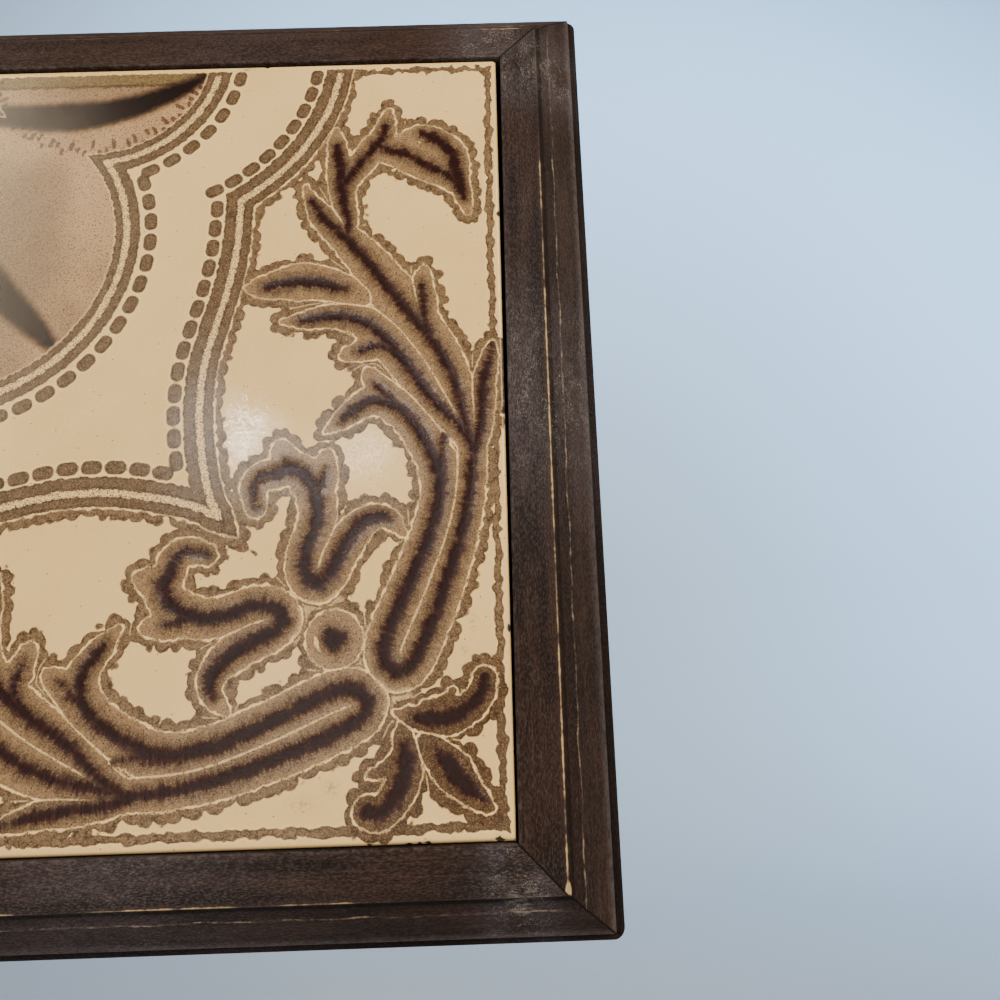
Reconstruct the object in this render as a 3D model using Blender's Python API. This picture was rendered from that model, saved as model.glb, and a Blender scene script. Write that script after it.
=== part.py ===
"""Square glazed tile set flush in a mitred, moulded wood frame that hangs on a wall.

Units are metres, +Z is up and the tile faces -Y. The origin is on the back of the top rail,
halfway along it, where the frame is fastened to the wall.
"""
import math

import bmesh
import bpy
from mathutils import Matrix, Vector

# Tile
TILE_SIDE = 0.200
TILE_THICKNESS = 0.009
TILE_LEAN = 0.0008          # the top edge sits this far left of the bottom edge
TILE_EDGE_ROUND = 0.0009
GROOVE_COUNT = 8
GROOVE_WIDTH = 0.009
GROOVE_DEPTH = 0.0012
GROOVE_MARGIN = 0.014       # plain border round the keyed back

# Room left round the tile in its opening
GAP_RIGHT = 0.0005
GAP_LEFT = 0.0003
GAP_TOP = 0.0005
GAP_BOTTOM = 0.0003
GAP_SEAT = 0.0003           # between the tile's back and the ledge
GAP_MITRE = 0.0003          # between the cut faces of two rails

# Rail section, outwards from the opening and upwards from the wall
TILE_RECESS = 0.0006        # the tile's face lies this far below the rail's inner edge
LEDGE_REACH = 0.006         # under the tile's margin
LEDGE_THICKNESS = 0.0041
BAND_WIDTH = 0.0102
BAND_FALL = 0.0002
BAND_EDGE_ROUND = 0.0004
QUIRK_WIDTH = 0.0003
QUIRK_DEPTH = 0.0009
HOLLOW_WIDTH = 0.0032
HOLLOW_FALL = 0.0018
HOLLOW_SAG = 0.0003
SLOPE_WIDTH = 0.0057
NOSE_ROUND = 0.0010
NOSE_HEIGHT = 0.0019        # upright side below the nosing
LIP_REACH = 0.0021
LIP_THICKNESS = 0.0039
LIP_EDGE_ROUND = 0.0006
CORNER_ROUND = 0.0025       # outer corners of the lip, seen from the front

ARC_STEPS = 4
SHARP_ANGLE = 28            # edges that turn more than this stay crisp

FRAME_DEPTH = LEDGE_THICKNESS + GAP_SEAT + TILE_THICKNESS + TILE_RECESS
NOSE_OUT = BAND_WIDTH + QUIRK_WIDTH + HOLLOW_WIDTH + SLOPE_WIDTH + NOSE_ROUND
LIP_OUT = NOSE_OUT + LIP_REACH
OPENING_WIDTH = GAP_LEFT + TILE_SIDE + TILE_LEAN + GAP_RIGHT
OPENING_HEIGHT = GAP_BOTTOM + TILE_SIDE + GAP_TOP
BACK_MIDDLE = (LIP_OUT - LEDGE_REACH) / 2      # middle of a rail's flat back
OPENING_CENTRE_Z = -(OPENING_HEIGHT / 2 + BACK_MIDDLE)
TILE_BACK_Y = -(LEDGE_THICKNESS + GAP_SEAT)

CUT_CLEARANCE = 0.005       # how far cutters run past what they cut


def clear_scene():
    for item in list(bpy.data.objects):
        bpy.data.objects.remove(item, do_unlink=True)


def new_collection(name):
    collection = bpy.data.collections.new(name)
    bpy.context.scene.collection.children.link(collection)
    return collection


def new_material(name, colour, roughness, metallic=0.0):
    material = bpy.data.materials.new(name)
    material.use_nodes = True
    shader = material.node_tree.nodes["Principled BSDF"]
    shader.inputs["Base Color"].default_value = (*colour, 1.0)
    shader.inputs["Roughness"].default_value = roughness
    shader.inputs["Metallic"].default_value = metallic
    return material


def arc(centre, radius, start, end):
    """Points on a quarter round, from one angle to another in degrees."""
    points = []
    for step in range(ARC_STEPS + 1):
        angle = math.radians(start + (end - start) * step / ARC_STEPS)
        points.append((centre[0] + radius * math.cos(angle), centre[1] + radius * math.sin(angle)))
    return points


def sagging_line(start, end, sag):
    """Points on a shallow hollow between two arrises."""
    points = []
    for step in range(1, ARC_STEPS):
        share = step / ARC_STEPS
        out = start[0] + (end[0] - start[0]) * share
        up = start[1] + (end[1] - start[1]) * share - 4 * sag * share * (1 - share)
        points.append((out, up))
    return points


def rail_section():
    """Outline of a rail: (distance out from the opening, height above the wall)."""
    ridge = (BAND_WIDTH, FRAME_DEPTH - BAND_FALL)
    foot = (BAND_WIDTH + QUIRK_WIDTH, ridge[1] - QUIRK_DEPTH)
    arris = (foot[0] + HOLLOW_WIDTH, foot[1] - HOLLOW_FALL)
    nose_centre = (NOSE_OUT - NOSE_ROUND, LIP_THICKNESS + NOSE_HEIGHT)
    lip_centre = (LIP_OUT - LIP_EDGE_ROUND, LIP_THICKNESS - LIP_EDGE_ROUND)
    band_centre = (BAND_EDGE_ROUND, FRAME_DEPTH - BAND_EDGE_ROUND)
    points = [(-LEDGE_REACH, 0.0), (LIP_OUT, 0.0)]
    points += arc(lip_centre, LIP_EDGE_ROUND, 0, 90)
    points += [(NOSE_OUT, LIP_THICKNESS)]
    points += arc(nose_centre, NOSE_ROUND, 0, 60)
    points += [arris]
    points += reversed(sagging_line(foot, arris, HOLLOW_SAG))
    points += [foot, ridge]
    points += arc(band_centre, BAND_EDGE_ROUND, 90, 180)
    points += [(0.0, LEDGE_THICKNESS), (-LEDGE_REACH, LEDGE_THICKNESS)]
    return points


def section_prism(name, section, length, collection):
    """The section as a flat outline, extruded along its own Z and turned into a mesh."""
    curve = bpy.data.curves.new(name + "_outline", "CURVE")
    curve.dimensions = "2D"
    curve.fill_mode = "BOTH"
    curve.extrude = length / 2
    spline = curve.splines.new("POLY")
    spline.points.add(len(section) - 1)
    for point, (out, up) in zip(spline.points, section):
        point.co = (out, up, 0.0, 1.0)
    spline.use_cyclic_u = True
    outline = bpy.data.objects.new(name + "_outline", curve)
    collection.objects.link(outline)
    bpy.context.view_layer.update()
    graph = bpy.context.evaluated_depsgraph_get()
    mesh = bpy.data.meshes.new_from_object(outline.evaluated_get(graph))
    bpy.data.objects.remove(outline, do_unlink=True)
    bpy.data.curves.remove(curve)
    mesh.name = name
    shape = bmesh.new()
    shape.from_mesh(mesh)
    bmesh.ops.remove_doubles(shape, verts=shape.verts, dist=0.00001)
    shape.to_mesh(mesh)
    shape.free()
    return mesh


def cut_mitres(mesh):
    """Both ends follow a 45 degree mitre that passes through the opening's corner."""
    for vertex in mesh.vertices:
        side = math.copysign(1.0, vertex.co.z)
        vertex.co.z += side * (vertex.co.x - GAP_MITRE / math.sqrt(2))
    mesh.update()


def make_rail(name, inner_length, outward, distance, corner_plate, material, collection):
    """One rail. Its section's X axis points outward from the opening, and its Y axis off the wall."""
    mesh = section_prism(name, rail_section(), inner_length, collection)
    cut_mitres(mesh)
    off_wall = Vector((0, -1, 0))
    along = outward.cross(off_wall)
    turn = Matrix((outward, off_wall, along)).transposed().to_4x4()
    centre = Vector((0, 0, OPENING_CENTRE_Z))
    mesh.transform(turn)
    rail = bpy.data.objects.new(name, mesh)
    rail.location = centre + outward * distance
    collection.objects.link(rail)
    rounding = rail.modifiers.new("rounded_corners", "BOOLEAN")
    rounding.operation = "INTERSECT"
    rounding.object = corner_plate
    mesh.materials.append(material)
    mesh.shade_smooth()
    mesh.set_sharp_from_angle(angle=math.radians(SHARP_ANGLE))
    return rail


def make_corner_plate(collection):
    """A plate with the frame's outline and rounded corners, which trims the four rails."""
    width = OPENING_WIDTH + 2 * LIP_OUT
    height = OPENING_HEIGHT + 2 * LIP_OUT
    depth = FRAME_DEPTH + 2 * CUT_CLEARANCE
    bpy.ops.mesh.primitive_cube_add(size=1, location=(0, -FRAME_DEPTH / 2, OPENING_CENTRE_Z))
    plate = bpy.context.active_object
    plate.name = "corner_plate"
    shape = bmesh.new()
    shape.from_mesh(plate.data)
    bmesh.ops.scale(shape, verts=shape.verts, vec=(width, depth, height))
    corners = [e for e in shape.edges if abs(e.verts[0].co.y - e.verts[1].co.y) > depth / 2]
    bmesh.ops.bevel(shape, geom=corners, offset=CORNER_ROUND, offset_type="OFFSET",
                    segments=2 * ARC_STEPS, profile=0.5, affect="EDGES")
    shape.to_mesh(plate.data)
    shape.free()
    move_to(plate, collection)
    hide_cutter(plate)
    return plate


def move_to(item, collection):
    for owner in list(item.users_collection):
        owner.objects.unlink(item)
    collection.objects.link(item)


def hide_cutter(item):
    item.hide_render = True
    item.display_type = "WIRE"


def make_back_grooves(collection):
    """Upright keying grooves in the tile's back, all in one cutter."""
    field = TILE_SIDE - 2 * GROOVE_MARGIN
    pitch = (field - GROOVE_WIDTH) / (GROOVE_COUNT - 1)
    depth = GROOVE_DEPTH + CUT_CLEARANCE
    mesh = bpy.data.meshes.new("back_grooves")
    shape = bmesh.new()
    for index in range(GROOVE_COUNT):
        x = -field / 2 + GROOVE_WIDTH / 2 + index * pitch
        box = bmesh.ops.create_cube(shape, size=1)["verts"]
        bmesh.ops.scale(shape, verts=box, vec=(GROOVE_WIDTH, depth, field))
        bmesh.ops.translate(shape, verts=box, vec=(x, CUT_CLEARANCE - depth / 2, 0))
    shape.to_mesh(mesh)
    shape.free()
    grooves = bpy.data.objects.new("back_grooves", mesh)
    collection.objects.link(grooves)
    hide_cutter(grooves)
    return grooves


def make_tile(material, parts, cutters):
    """A slab with softened front edges and corners, a keyed back and a slight lean."""
    bpy.ops.mesh.primitive_cube_add(size=1)
    tile = bpy.context.active_object
    tile.name = "tile"
    tile.data.name = "tile"
    shape = bmesh.new()
    shape.from_mesh(tile.data)
    bmesh.ops.scale(shape, verts=shape.verts, vec=(TILE_SIDE, TILE_THICKNESS, TILE_SIDE))
    bmesh.ops.translate(shape, verts=shape.verts, vec=(0, -TILE_THICKNESS / 2, 0))
    middle = -TILE_THICKNESS / 2
    softened = [e for e in shape.edges if min(v.co.y for v in e.verts) < middle]
    bmesh.ops.bevel(shape, geom=softened, offset=TILE_EDGE_ROUND, offset_type="OFFSET",
                    segments=ARC_STEPS, profile=0.5, affect="EDGES")
    for vertex in shape.verts:
        vertex.co.x -= TILE_LEAN * vertex.co.z / TILE_SIDE
    shape.to_mesh(tile.data)
    shape.free()
    move_to(tile, parts)
    tile_x = (GAP_LEFT - GAP_RIGHT) / 2
    tile_z = OPENING_CENTRE_Z + (GAP_BOTTOM - GAP_TOP) / 2
    tile.location = (tile_x, TILE_BACK_Y, tile_z)
    grooves = make_back_grooves(cutters)
    grooves.location = tile.location
    cut = tile.modifiers.new("keyed_back", "BOOLEAN")
    cut.operation = "DIFFERENCE"
    cut.object = grooves
    tile.data.materials.append(material)
    tile.data.shade_smooth()
    tile.data.set_sharp_from_angle(angle=math.radians(SHARP_ANGLE))
    return tile


def build():
    clear_scene()
    parts = new_collection("framed_ceramic_tile")
    cutters = new_collection("cutters")
    glaze = new_material("cream_glaze", (0.66, 0.54, 0.38), 0.18)
    wood = new_material("dark_stained_wood", (0.055, 0.035, 0.024), 0.45)
    make_tile(glaze, parts, cutters)
    plate = make_corner_plate(cutters)
    half_width = OPENING_WIDTH / 2
    half_height = OPENING_HEIGHT / 2
    rails = (
        ("rail_top", OPENING_WIDTH, Vector((0, 0, 1)), half_height),
        ("rail_bottom", OPENING_WIDTH, Vector((0, 0, -1)), half_height),
        ("rail_left", OPENING_HEIGHT, Vector((-1, 0, 0)), half_width),
        ("rail_right", OPENING_HEIGHT, Vector((1, 0, 0)), half_width),
    )
    for name, inner_length, outward, distance in rails:
        make_rail(name, inner_length, outward, distance, plate, wood, parts)


build()
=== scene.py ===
"""Looks of the framed ceramic tile: painted and glazed face, worn stained wood, soft studio light.

Sizes are metres in the part's frame, with the tile facing -Y, unless a name says millimetres.
On the tile's face a place is (a, b): millimetres left from its right edge and up from its bottom.
"""
import math

import bmesh
import bpy
import numpy as np
from mathutils import Matrix, Vector, noise


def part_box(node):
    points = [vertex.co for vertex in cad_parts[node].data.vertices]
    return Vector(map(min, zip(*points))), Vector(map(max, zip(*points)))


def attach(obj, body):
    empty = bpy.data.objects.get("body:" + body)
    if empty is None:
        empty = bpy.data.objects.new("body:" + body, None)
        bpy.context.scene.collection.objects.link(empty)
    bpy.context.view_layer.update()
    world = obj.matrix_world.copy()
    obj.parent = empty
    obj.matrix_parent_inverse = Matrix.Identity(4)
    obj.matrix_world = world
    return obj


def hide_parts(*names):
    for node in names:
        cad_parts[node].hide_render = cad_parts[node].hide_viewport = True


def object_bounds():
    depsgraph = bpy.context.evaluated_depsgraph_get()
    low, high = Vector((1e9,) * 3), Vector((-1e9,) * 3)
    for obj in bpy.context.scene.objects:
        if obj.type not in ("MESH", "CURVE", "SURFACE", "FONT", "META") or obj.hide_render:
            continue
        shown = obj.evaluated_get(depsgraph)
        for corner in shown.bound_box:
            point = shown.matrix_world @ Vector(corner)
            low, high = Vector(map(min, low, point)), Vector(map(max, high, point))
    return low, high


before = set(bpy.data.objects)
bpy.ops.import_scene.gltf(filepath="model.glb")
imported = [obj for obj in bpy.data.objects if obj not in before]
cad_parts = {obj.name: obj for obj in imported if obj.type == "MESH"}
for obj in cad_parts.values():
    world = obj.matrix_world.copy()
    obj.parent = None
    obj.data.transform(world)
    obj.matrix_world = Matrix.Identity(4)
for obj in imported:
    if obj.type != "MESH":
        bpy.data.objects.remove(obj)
CAD_LOW, CAD_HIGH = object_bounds()

MM = 0.001

# Tile, read from the frame where it can be
TILE_LOW, TILE_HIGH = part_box("tile")
TILE_SIDE = TILE_HIGH.z - TILE_LOW.z
TILE_LEAN = (TILE_HIGH.x - TILE_LOW.x) - TILE_SIDE
FACE_Y = TILE_LOW.y
TILE_BACK_Y = TILE_HIGH.y
SIDE_MM = TILE_SIDE / MM
FACE_CELLS = 300
FACE_EDGE_ROUND = 0.0009
GLAZE_WAVE = 0.00004
GROOVE_COUNT = 8
GROOVE_WIDTH = 0.009
GROOVE_DEPTH = 0.0012
GROOVE_MARGIN = 0.014

# Rails: (distance out from the opening, height above the wall)
LEDGE_REACH = 0.006
LEDGE_THICKNESS = 0.0041
FRAME_DEPTH = -CAD_LOW.y
BAND_WIDTH = 0.0102
BAND_FALL = 0.0002
BAND_EDGE_ROUND = 0.0004
RIDGE_ROUND = 0.00025
QUIRK_WIDTH = 0.0003
QUIRK_DEPTH = 0.0009
HOLLOW_WIDTH = 0.0032
HOLLOW_FALL = 0.0018
HOLLOW_SAG = 0.0003
NOSE_OUT = 0.0204
NOSE_ROUND = 0.0010
NOSE_HEIGHT = 0.0019
LIP_REACH = 0.0021
LIP_OUT = NOSE_OUT + LIP_REACH
LIP_THICKNESS = 0.0039
LIP_EDGE_ROUND = 0.0006
CORNER_ROUND = 0.0025
GAP_MITRE = 0.00002
OPENING_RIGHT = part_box("rail_right")[0].x + LEDGE_REACH
OPENING_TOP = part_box("rail_top")[0].z + LEDGE_REACH
OPENING_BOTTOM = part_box("rail_bottom")[1].z - LEDGE_REACH
OPENING_CENTRE = Vector((0, 0, (OPENING_TOP + OPENING_BOTTOM) / 2))
RAIL_STEP = 0.0011
CORNER_STEPS = 6

# Painted picture
MIRROR_SHIFT = 3.5          # it mirrors about the line b = a + this
PATH_STEP = 0.8
TIP_RUNS = (0, 3.4, 4.6, 7.5)           # a vein's blunt tip: lengths from the leaf's tip
TIP_SHARES = (-4.0, -0.4, 0.45, 1.0)    # and its half width there
FAR = 30.0                  # any distance past the reach of a line or a band

# Each stroke is a leaf or stem: its layer, its half width at the start, middle and end, the half
# width of its dark vein likewise, and the points of its middle line. The mirrored copy of a stroke
# goes to the next layer, and two layers that meet keep a light line between them.
STROKES = {
    "main_stem": (0, (0.5, 6.0, 2.8), (0.0, 1.2, 0.9),
                  ((51.5, 160.5), (49.6, 156), (46, 150.5), (40.3, 144.5), (35, 138.5),
                   (30, 131.5), (25.5, 125.5), (20.5, 119), (15.5, 111.5), (12.2, 104),
                   (10.4, 97), (8.5, 88))),
    "spray_left": (1, (0.6, 3.7, 2.0), (0.0, 1.3, 0.6),
                   ((44, 178), (43.4, 172), (42.4, 165), (41.4, 157), (40, 150.5), (40, 146.5))),
    "spray_middle": (1, (0.7, 3.8, 2.8), (0.0, 1.1, 1.0),
                     ((29.6, 184), (31, 176.5), (34, 171.5), (37.5, 166.5), (40.5, 162),
                      (41.6, 158))),
    "spray_right": (1, (3.2, 5.0, 3.3), (0.7, 1.1, 0.9),
                    ((33, 173.5), (29.5, 171.4), (25.5, 170.2), (21.5, 167.8), (17.5, 165.2),
                     (14, 163.3), (11.5, 161))),
    "hook": (1, (0.8, 4.2, 0.7), (0.0, 1.4, 0.3),
             ((25.5, 176), (20.5, 176.2), (16.2, 174), (12.8, 170), (11.4, 165.5), (10.6, 161),
              (9.5, 156.5), (8.2, 151.5))),
    "small_leaf": (2, (0.7, 3.6, 1.6), (0.0, 0.8, 0.8),
                   ((19.8, 135.5), (20.3, 130), (20, 124.5), (19.3, 119.5), (17, 114.5))),
    "side_leaf": (1, (0.4, 5.2, 3.0), (0.0, 1.3, 0.3),
                  ((65.5, 131), (60.2, 131.3), (55, 132.2), (50, 132.4), (45, 131.6), (40, 130),
                   (35.5, 128.3))),
    "long_leaf": (2, (0.4, 4.8, 3.0), (0.0, 1.2, 0.9),
                  ((56, 121.3), (49.5, 121.7), (45, 122.4), (40, 122.2), (35, 120.6),
                   (30.5, 117.2), (26, 111.8), (22, 105.8), (18, 100), (15, 96.5), (11.5, 93),
                   (8.3, 88))),
    "long_leaf_prong": (2, (0.5, 3.2, 3.2), (0.0, 0.9, 1.0),
                        ((40.5, 111.5), (35.5, 112.9), (32, 114), (29, 113.4), (26.5, 111.5))),
    "lower_leaf": (1, (0.5, 4.5, 4.2), (0.0, 1.2, 1.5),
                   ((43.5, 92), (40, 94.6), (37, 97), (33.5, 99.2), (30, 99.4), (26, 97.6),
                    (22.3, 93.6), (19.3, 88.5), (17, 83.5), (15.9, 78))),
    "lower_leaf_prong": (1, (0.6, 3.2, 3.3), (0.0, 0.8, 1.0),
                         ((34, 107.5), (31, 103), (28.5, 100.5), (26.3, 97.8))),
    "lower_leaf_spur": (1, (1.0, 2.0, 2.5), (0.2, 0.7, 1.0),
                        ((15.0, 90), (15.6, 84.5), (15.9, 78))),
    "bud": (1, (1.0, 3.2, 2.0), (0.2, 1.1, 0.9),
            ((2.6, 113.5), (3.7, 109), (5, 103.5), (5.5, 97.5), (6, 92), (7, 88), (8, 84))),
    "stem_left": (1, (4.2, 4.4, 4.2), (1.4, 1.5, 1.5),
                  ((16, 84), (15.8, 78), (16.6, 72), (18.3, 66), (20.7, 60), (23.5, 53.5),
                   (26.5, 47), (28.4, 41.6), (28, 37.6), (25.5, 35.3))),
    "stem_right": (2, (4.2, 4.2, 3.2), (1.4, 1.4, 0.9),
                   ((25.5, 35.3), (22.8, 36.3), (20.4, 40), (18.3, 45), (15.8, 51), (13.6, 57.5),
                    (11.5, 64), (10, 70), (8.9, 76), (8.2, 82), (8, 87))),
    "curl_down": (0, (2.3, 4.4, 4.2), (0.5, 1.4, 1.5),
                  ((59.3, 73.5), (60.2, 78.5), (58.2, 81), (55.2, 81.8), (52, 83), (49, 81.8),
                   (46.8, 79), (45.2, 75.5), (44.7, 71.5), (45.6, 67), (47, 63), (47.2, 59),
                   (45.8, 56), (43.6, 55.2))),
    "curl_up": (2, (4.2, 4.2, 0.8), (1.5, 1.5, 0.3),
                ((43.6, 55.2), (41.5, 57.3), (39.3, 61.8), (37, 65.8), (34.2, 69), (31, 70.6),
                 (28, 70), (24.5, 66.5))),
    "curl_tip": (0, (0.6, 3.2, 3.8), (0.0, 0.9, 1.1), ((54.5, 89), (53.3, 85.5), (52, 82.8))),
    "curl_spike": (0, (0.9, 3.3, 4.0), (0.0, 0.8, 1.1),
                   ((43, 86.5), (43.6, 82), (44.3, 78.5), (45.2, 75.5))),
}
# These have no mirrored copy: the boss, and the three petals in the corner, not quite alike
SINGLE_STROKES = {
    "boss": (0, (6.2, 6.2, 6.2), (2.4, 2.4, 2.4), ((40.0, 42.9), (39.8, 42.7), (39.6, 42.5))),
    "middle_petal": (2, (1.6, 4.2, 0.9), (0.0, 1.9, 0.3),
                     ((19.4, 20.6), (16.6, 17.8), (13.2, 14.2), (9.8, 10.4), (5.4, 6.6))),
    "middle_petal_vein": (2, (-3.0, -3.0, -3.0), (0.4, 1.9, 0.5),
                          ((17.3, 19.2), (15, 16.4), (12, 13.2), (9, 10.2), (6.4, 8))),
    "right_petal": (0, (0.5, 3.5, 2.6), (0.0, 1.8, 1.3),
                    ((25.6, 26.6), (22, 25.6), (17.5, 25), (13.4, 25.4), (9.6, 27.2), (7, 30),
                     (6, 33.2))),
    "right_petal_spur": (0, (0.2, 1.3, 2.8), (-3.0, -3.0, -3.0),
                         ((12.7, 31.5), (13.8, 29.8), (15.4, 28.2), (18, 26.6))),
    "left_petal": (1, (0.5, 3.6, 3.2), (0.0, 1.8, 1.5),
                   ((24.6, 24.4), (24, 21), (23.4, 17), (24, 12.6), (26, 8.8), (29, 6.4),
                    (31.4, 6.8))),
    "left_petal_spur": (1, (0.2, 1.3, 2.8), (-3.0, -3.0, -3.0),
                        ((31.8, 13.9), (29.6, 14.5), (27.4, 15.2), (25, 16.4))),
}
# Where two layers grow together, without a light line: centre and radius
JOINTS = ((43.6, 55.2, 4.2), (25.5, 35.3, 4.2), (8.3, 87, 4.0), (17.5, 115, 4.0),
          (38.6, 147, 3.0), (16.6, 122, 2.6), (13.5, 91, 3.0), (3.6, 87.5, 4.5), (14, 125, 3.5),
          (29, 113.5, 3.5))
# Medallion that fills the upper left corner: circles, and the left of its bulging side by height
OUTER_LOBE = (99.0, 204.0, 56.1)
INNER_LOBE = (110.3, 202.8, 33.4)
INNER_MIDDLE_LOBE = (141.5, 145.0, 43.8)
SIDE_LINE = ((40, 57), (60, 64.4), (71.7, 68.2), (76, 70.3), (81, 71.9), (86, 73), (93, 74.2),
             (100, 74.8), (108.6, 74.6), (114, 73.8), (121.5, 72.2), (128.5, 70.6), (136, 69.3),
             (143, 68.6), (150, 68.4), (157, 68.4), (175, 69.5))
OUTER_STRIPES = (4.0, 3.4)      # half widths of a striped border, on its inner and its outer side
INNER_STRIPES = (2.9, 3.5)
PALE_HALF = 0.85
BEAD_OFFSET = 6.3
BEAD_PITCH = 5.8
BEAD_HALF = (2.55, 1.7)
BEAD_ROUND = 1.5
SPINDLES = (((80.5, 197.3), (87.3, 192.9), (95.7, 189.2), (100.7, 187.4), (110, 185.2), (124, 184.6),
             (145, 187), (165, 192.5)),
            ((112, 115.5), (165, 168.5)))
SPINDLE_HALF = (1.2, 4.8, 0.5)
TICK_PITCH = 3.9                # degrees between the dark marks round a spindle
PICTURE_END = 198.2             # the medallion's paint stops short of the tile's edge
CAP_START = 196.9               # and its stripes are closed by a brown end
STAR_CENTRE = (198.0, 201.5)
# A light fleck beside the boss's core: half width and middle line
FLECK = ((0.1, 0.42, 0.1), ((43.9, 44.3), (44.0, 42.8), (43.6, 41.3), (42.7, 39.9)))
# Faint grey smudges on the glaze: centre, half sizes, strength
SMUDGES = ((39.3, 11.6, 1.5, 1.1, 1.0), (45.2, 8.6, 3.0, 1.2, 0.7), (8.4, 45.6, 0.6, 1.8, 0.9),
           (10.4, 39.6, 0.9, 0.8, 0.7), (30.0, 49.0, 1.2, 0.7, 0.5))
EDGE_CHIPS = ((3.4, 0.3, 0.9), (18.6, 0.1, 0.6), (20.4, 0.1, 0.5), (22.6, 0.1, 0.7), (31.0, 0.0, 0.6),
              (0.2, 44.0, 0.8), (0.1, 96.0, 0.8), (0.1, 151.0, 0.7), (64.0, 200.0, 0.7),
              (150.0, 0.1, 0.9), (199.8, 60.0, 1.0))


def smooth_path(points):
    """A smooth curve through the points in short steps, and its length so far at each step."""
    p = np.asarray(points, float)
    p = np.vstack([2 * p[0] - p[1], p, 2 * p[-1] - p[-2]])
    path = [p[1]]
    for k in range(1, len(p) - 2):
        before, start, end, after = p[k - 1:k + 3]
        steps = max(2, int(np.linalg.norm(end - start) / PATH_STEP))
        for t in np.linspace(0, 1, steps + 1)[1:]:
            path.append(0.5 * (2 * start + (end - before) * t
                               + (2 * before - 5 * start + 4 * end - after) * t ** 2
                               + (3 * start - before - 3 * end + after) * t ** 3))
    path = np.array(path)
    steps = np.linalg.norm(np.diff(path, axis=0), axis=1)
    return path, np.concatenate([[0.0], np.cumsum(steps)])


def mirrored(points):
    return tuple((b - MIRROR_SHIFT, a + MIRROR_SHIFT) for a, b in points)


def mirror_places(places):
    return np.column_stack([places[:, 1] - MIRROR_SHIFT, places[:, 0] + MIRROR_SHIFT])


def body_width(values, run, total):
    """Half width of a leaf along its middle line."""
    start, middle, end = values
    share = run / total
    return np.interp(share, (0.0, 0.12, 0.45, 0.88, 1.0),
                     (start, 0.5 * (start + middle), middle, 0.35 * middle + 0.65 * end, end))


def vein_width(values, run, total):
    """Half width of the dark vein. A vein that starts or ends at nothing has a blunt tip."""
    start, middle, end = values
    width = np.interp(run / total, (0.0, 0.25, 0.6, 1.0),
                      (start if start else 0.9 * middle, middle, middle, end if end > 0.4 else middle))
    if not start:
        width = np.minimum(width, np.interp(run, TIP_RUNS, TIP_SHARES) * middle)
    if end <= 0.4:
        width = np.minimum(width, np.interp(total - run, TIP_RUNS, TIP_SHARES) * middle)
    return width


def stroke_fields(places, body, vein, points):
    """Distances to the edge of the leaf and of its vein, and the length along it."""
    path, length = smooth_path(points)
    near = np.all((places > path.min(axis=0) - 14) & (places < path.max(axis=0) + 14), axis=1)
    spots = places[near]
    to_body = np.full(len(spots), FAR)
    to_vein = np.full(len(spots), FAR)
    along = np.zeros(len(spots))
    for k in range(len(path) - 1):
        step = path[k + 1] - path[k]
        t = np.clip((spots - path[k]) @ step / (step @ step), 0, 1)
        gap = np.linalg.norm(spots - path[k] - t[:, None] * step, axis=1)
        run = length[k] + t * (length[k + 1] - length[k])
        vein_gap = gap - vein_width(vein, run, length[-1])
        if length[-1] < 1.0:
            run = 3.0 * np.arctan2(spots[:, 1] - path[0][1], spots[:, 0] - path[0][0])
        along = np.where(vein_gap < to_vein, run, along)
        to_vein = np.minimum(to_vein, vein_gap)
        to_body = np.minimum(to_body, gap - body_width(body, run, length[-1]))
    fields = np.full((3, len(places)), FAR)
    fields[:, near] = to_body, to_vein, along
    return fields


def leaf_fields(places):
    """Distance to the leaves of each layer, distance to the nearest vein, length along it."""
    drawn = list(SINGLE_STROKES.values())
    for layer, body, vein, points in STROKES.values():
        drawn.append((layer, body, vein, points))
        drawn.append(((layer + 1) % 3, body, vein, mirrored(points)))
    layers = np.full((3, len(places)), FAR)
    vein_edge = np.full(len(places), FAR)
    along = np.zeros(len(places))
    for layer, body, vein, points in drawn:
        to_body, to_vein, run = stroke_fields(places, body, vein, points)
        layers[layer] = np.minimum(layers[layer], to_body)
        along = np.where(to_vein < vein_edge, run, along)
        vein_edge = np.minimum(vein_edge, to_vein)
    return layers, vein_edge, along


def joint_field(places):
    """1 where leaves grow together, fading to 0."""
    share = np.zeros(len(places))
    for a, b, radius in JOINTS:
        for centre in ((a, b), (b - MIRROR_SHIFT, a + MIRROR_SHIFT)):
            gap = np.hypot(places[:, 0] - centre[0], places[:, 1] - centre[1])
            share = np.maximum(share, np.clip((radius - gap) / 0.8 + 0.5, 0, 1))
    return share


def circle_field(places, circle):
    return np.hypot(places[:, 0] - circle[0], places[:, 1] - circle[1]) - circle[2]


def side_line():
    """Heights and lefts along the medallion's bulging side."""
    path, _ = smooth_path(SIDE_LINE)
    return path[:, 0], path[:, 1]


def side_field(places):
    heights, lefts = side_line()
    left = np.interp(places[:, 1], heights, lefts)
    slope = np.interp(places[:, 1], heights, np.gradient(lefts, heights))
    return (left - places[:, 0]) / np.sqrt(1 + slope ** 2)


def medallion_fields(places):
    """Signed distances to the outer and the inner medallion's striped borders."""
    flip = mirror_places(places)
    corner = np.maximum(side_field(places), side_field(flip))
    outer = np.minimum(circle_field(places, OUTER_LOBE), circle_field(flip, OUTER_LOBE))
    outer = np.minimum(corner, outer)
    inner = np.minimum(circle_field(places, INNER_LOBE), circle_field(flip, INNER_LOBE))
    inner = np.minimum(inner, circle_field(places, INNER_MIDDLE_LOBE))
    return outer, inner


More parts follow.
